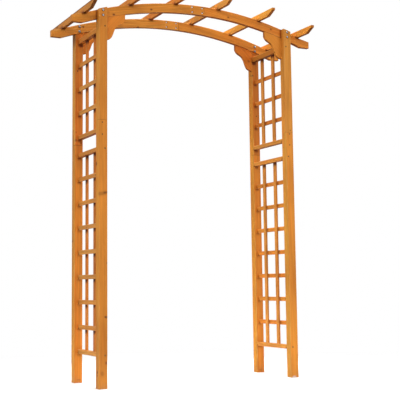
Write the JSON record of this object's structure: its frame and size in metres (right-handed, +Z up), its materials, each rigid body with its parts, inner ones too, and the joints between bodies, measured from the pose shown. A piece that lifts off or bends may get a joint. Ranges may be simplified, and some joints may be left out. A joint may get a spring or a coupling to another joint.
{
  "type": "garden arch",
  "caption": "Wooden garden arch to walk under and grow climbers on: lattice sides of spliced square posts, curved beams let into the post heads, rafters laid across and ogee corner brackets.",
  "frame": {"origin": "on the ground, at the middle of the arch", "axes": "+Z up; +X to the right along the span seen from the front; +Y from the front to the rear, the way one walks through"},
  "size_m": [1.508, 0.72, 2.151],
  "materials": {
    "stained_wood": "orange-brown stained softwood, satin",
    "zinc_steel": "bright zinc plated",
    "yellow_zinc": "yellow passivated zinc, dulled by stain"
  },
  "bodies": {
    "root": {"beam_front_left": "stained_wood", "beam_front_right": "stained_wood", "beam_rear_left": "stained_wood", "beam_rear_right": "stained_wood", "beam_splice_screws": "zinc_steel", "bracket_front_left": "stained_wood", "bracket_front_right": "stained_wood", "bracket_rear_left": "stained_wood", "bracket_rear_right": "stained_wood", "cross_slat_left_lower_1": "stained_wood", "cross_slat_left_lower_2": "stained_wood", "cross_slat_left_lower_3": "stained_wood", "cross_slat_left_lower_4": "stained_wood", "cross_slat_left_lower_5": "stained_wood", "cross_slat_left_lower_6": "stained_wood", "cross_slat_left_lower_7": "stained_wood", "cross_slat_left_upper_1": "stained_wood", "cross_slat_left_upper_2": "stained_wood", "cross_slat_left_upper_3": "stained_wood", "cross_slat_right_lower_1": "stained_wood", "cross_slat_right_lower_2": "stained_wood", "cross_slat_right_lower_3": "stained_wood", "cross_slat_right_lower_4": "stained_wood", "cross_slat_right_lower_5": "stained_wood", "cross_slat_right_lower_6": "stained_wood", "cross_slat_right_lower_7": "stained_wood", "cross_slat_right_upper_1": "stained_wood", "cross_slat_right_upper_2": "stained_wood", "cross_slat_right_upper_3": "stained_wood", "lattice_brads": "zinc_steel", "long_wood_screws": "yellow_zinc", "post_beam_bolts": "zinc_steel", "post_beam_nuts": "zinc_steel", "post_front_left_lower": "stained_wood", "post_front_left_upper": "stained_wood", "post_front_right_lower": "stained_wood", "post_front_right_upper": "stained_wood", "post_rear_left_lower": "stained_wood", "post_rear_left_upper": "stained_wood", "post_rear_right_lower": "stained_wood", "post_rear_right_upper": "stained_wood", "rafter_far_left": "stained_wood", "rafter_far_right": "stained_wood", "rafter_mid_left": "stained_wood", "rafter_mid_right": "stained_wood", "rafter_near_left": "stained_wood", "rafter_near_right": "stained_wood", "rail_left_bottom": "stained_wood", "rail_left_mid_lower": "stained_wood", "rail_left_mid_upper": "stained_wood", "rail_left_top": "stained_wood", "rail_right_bottom": "stained_wood", "rail_right_mid_lower": "stained_wood", "rail_right_mid_upper": "stained_wood", "rail_right_top": "stained_wood", "short_wood_screws": "yellow_zinc", "upright_slats_left_lower": "stained_wood", "upright_slats_left_upper": "stained_wood", "upright_slats_right_lower": "stained_wood", "upright_slats_right_upper": "stained_wood"}
  },
  "joints": []
}
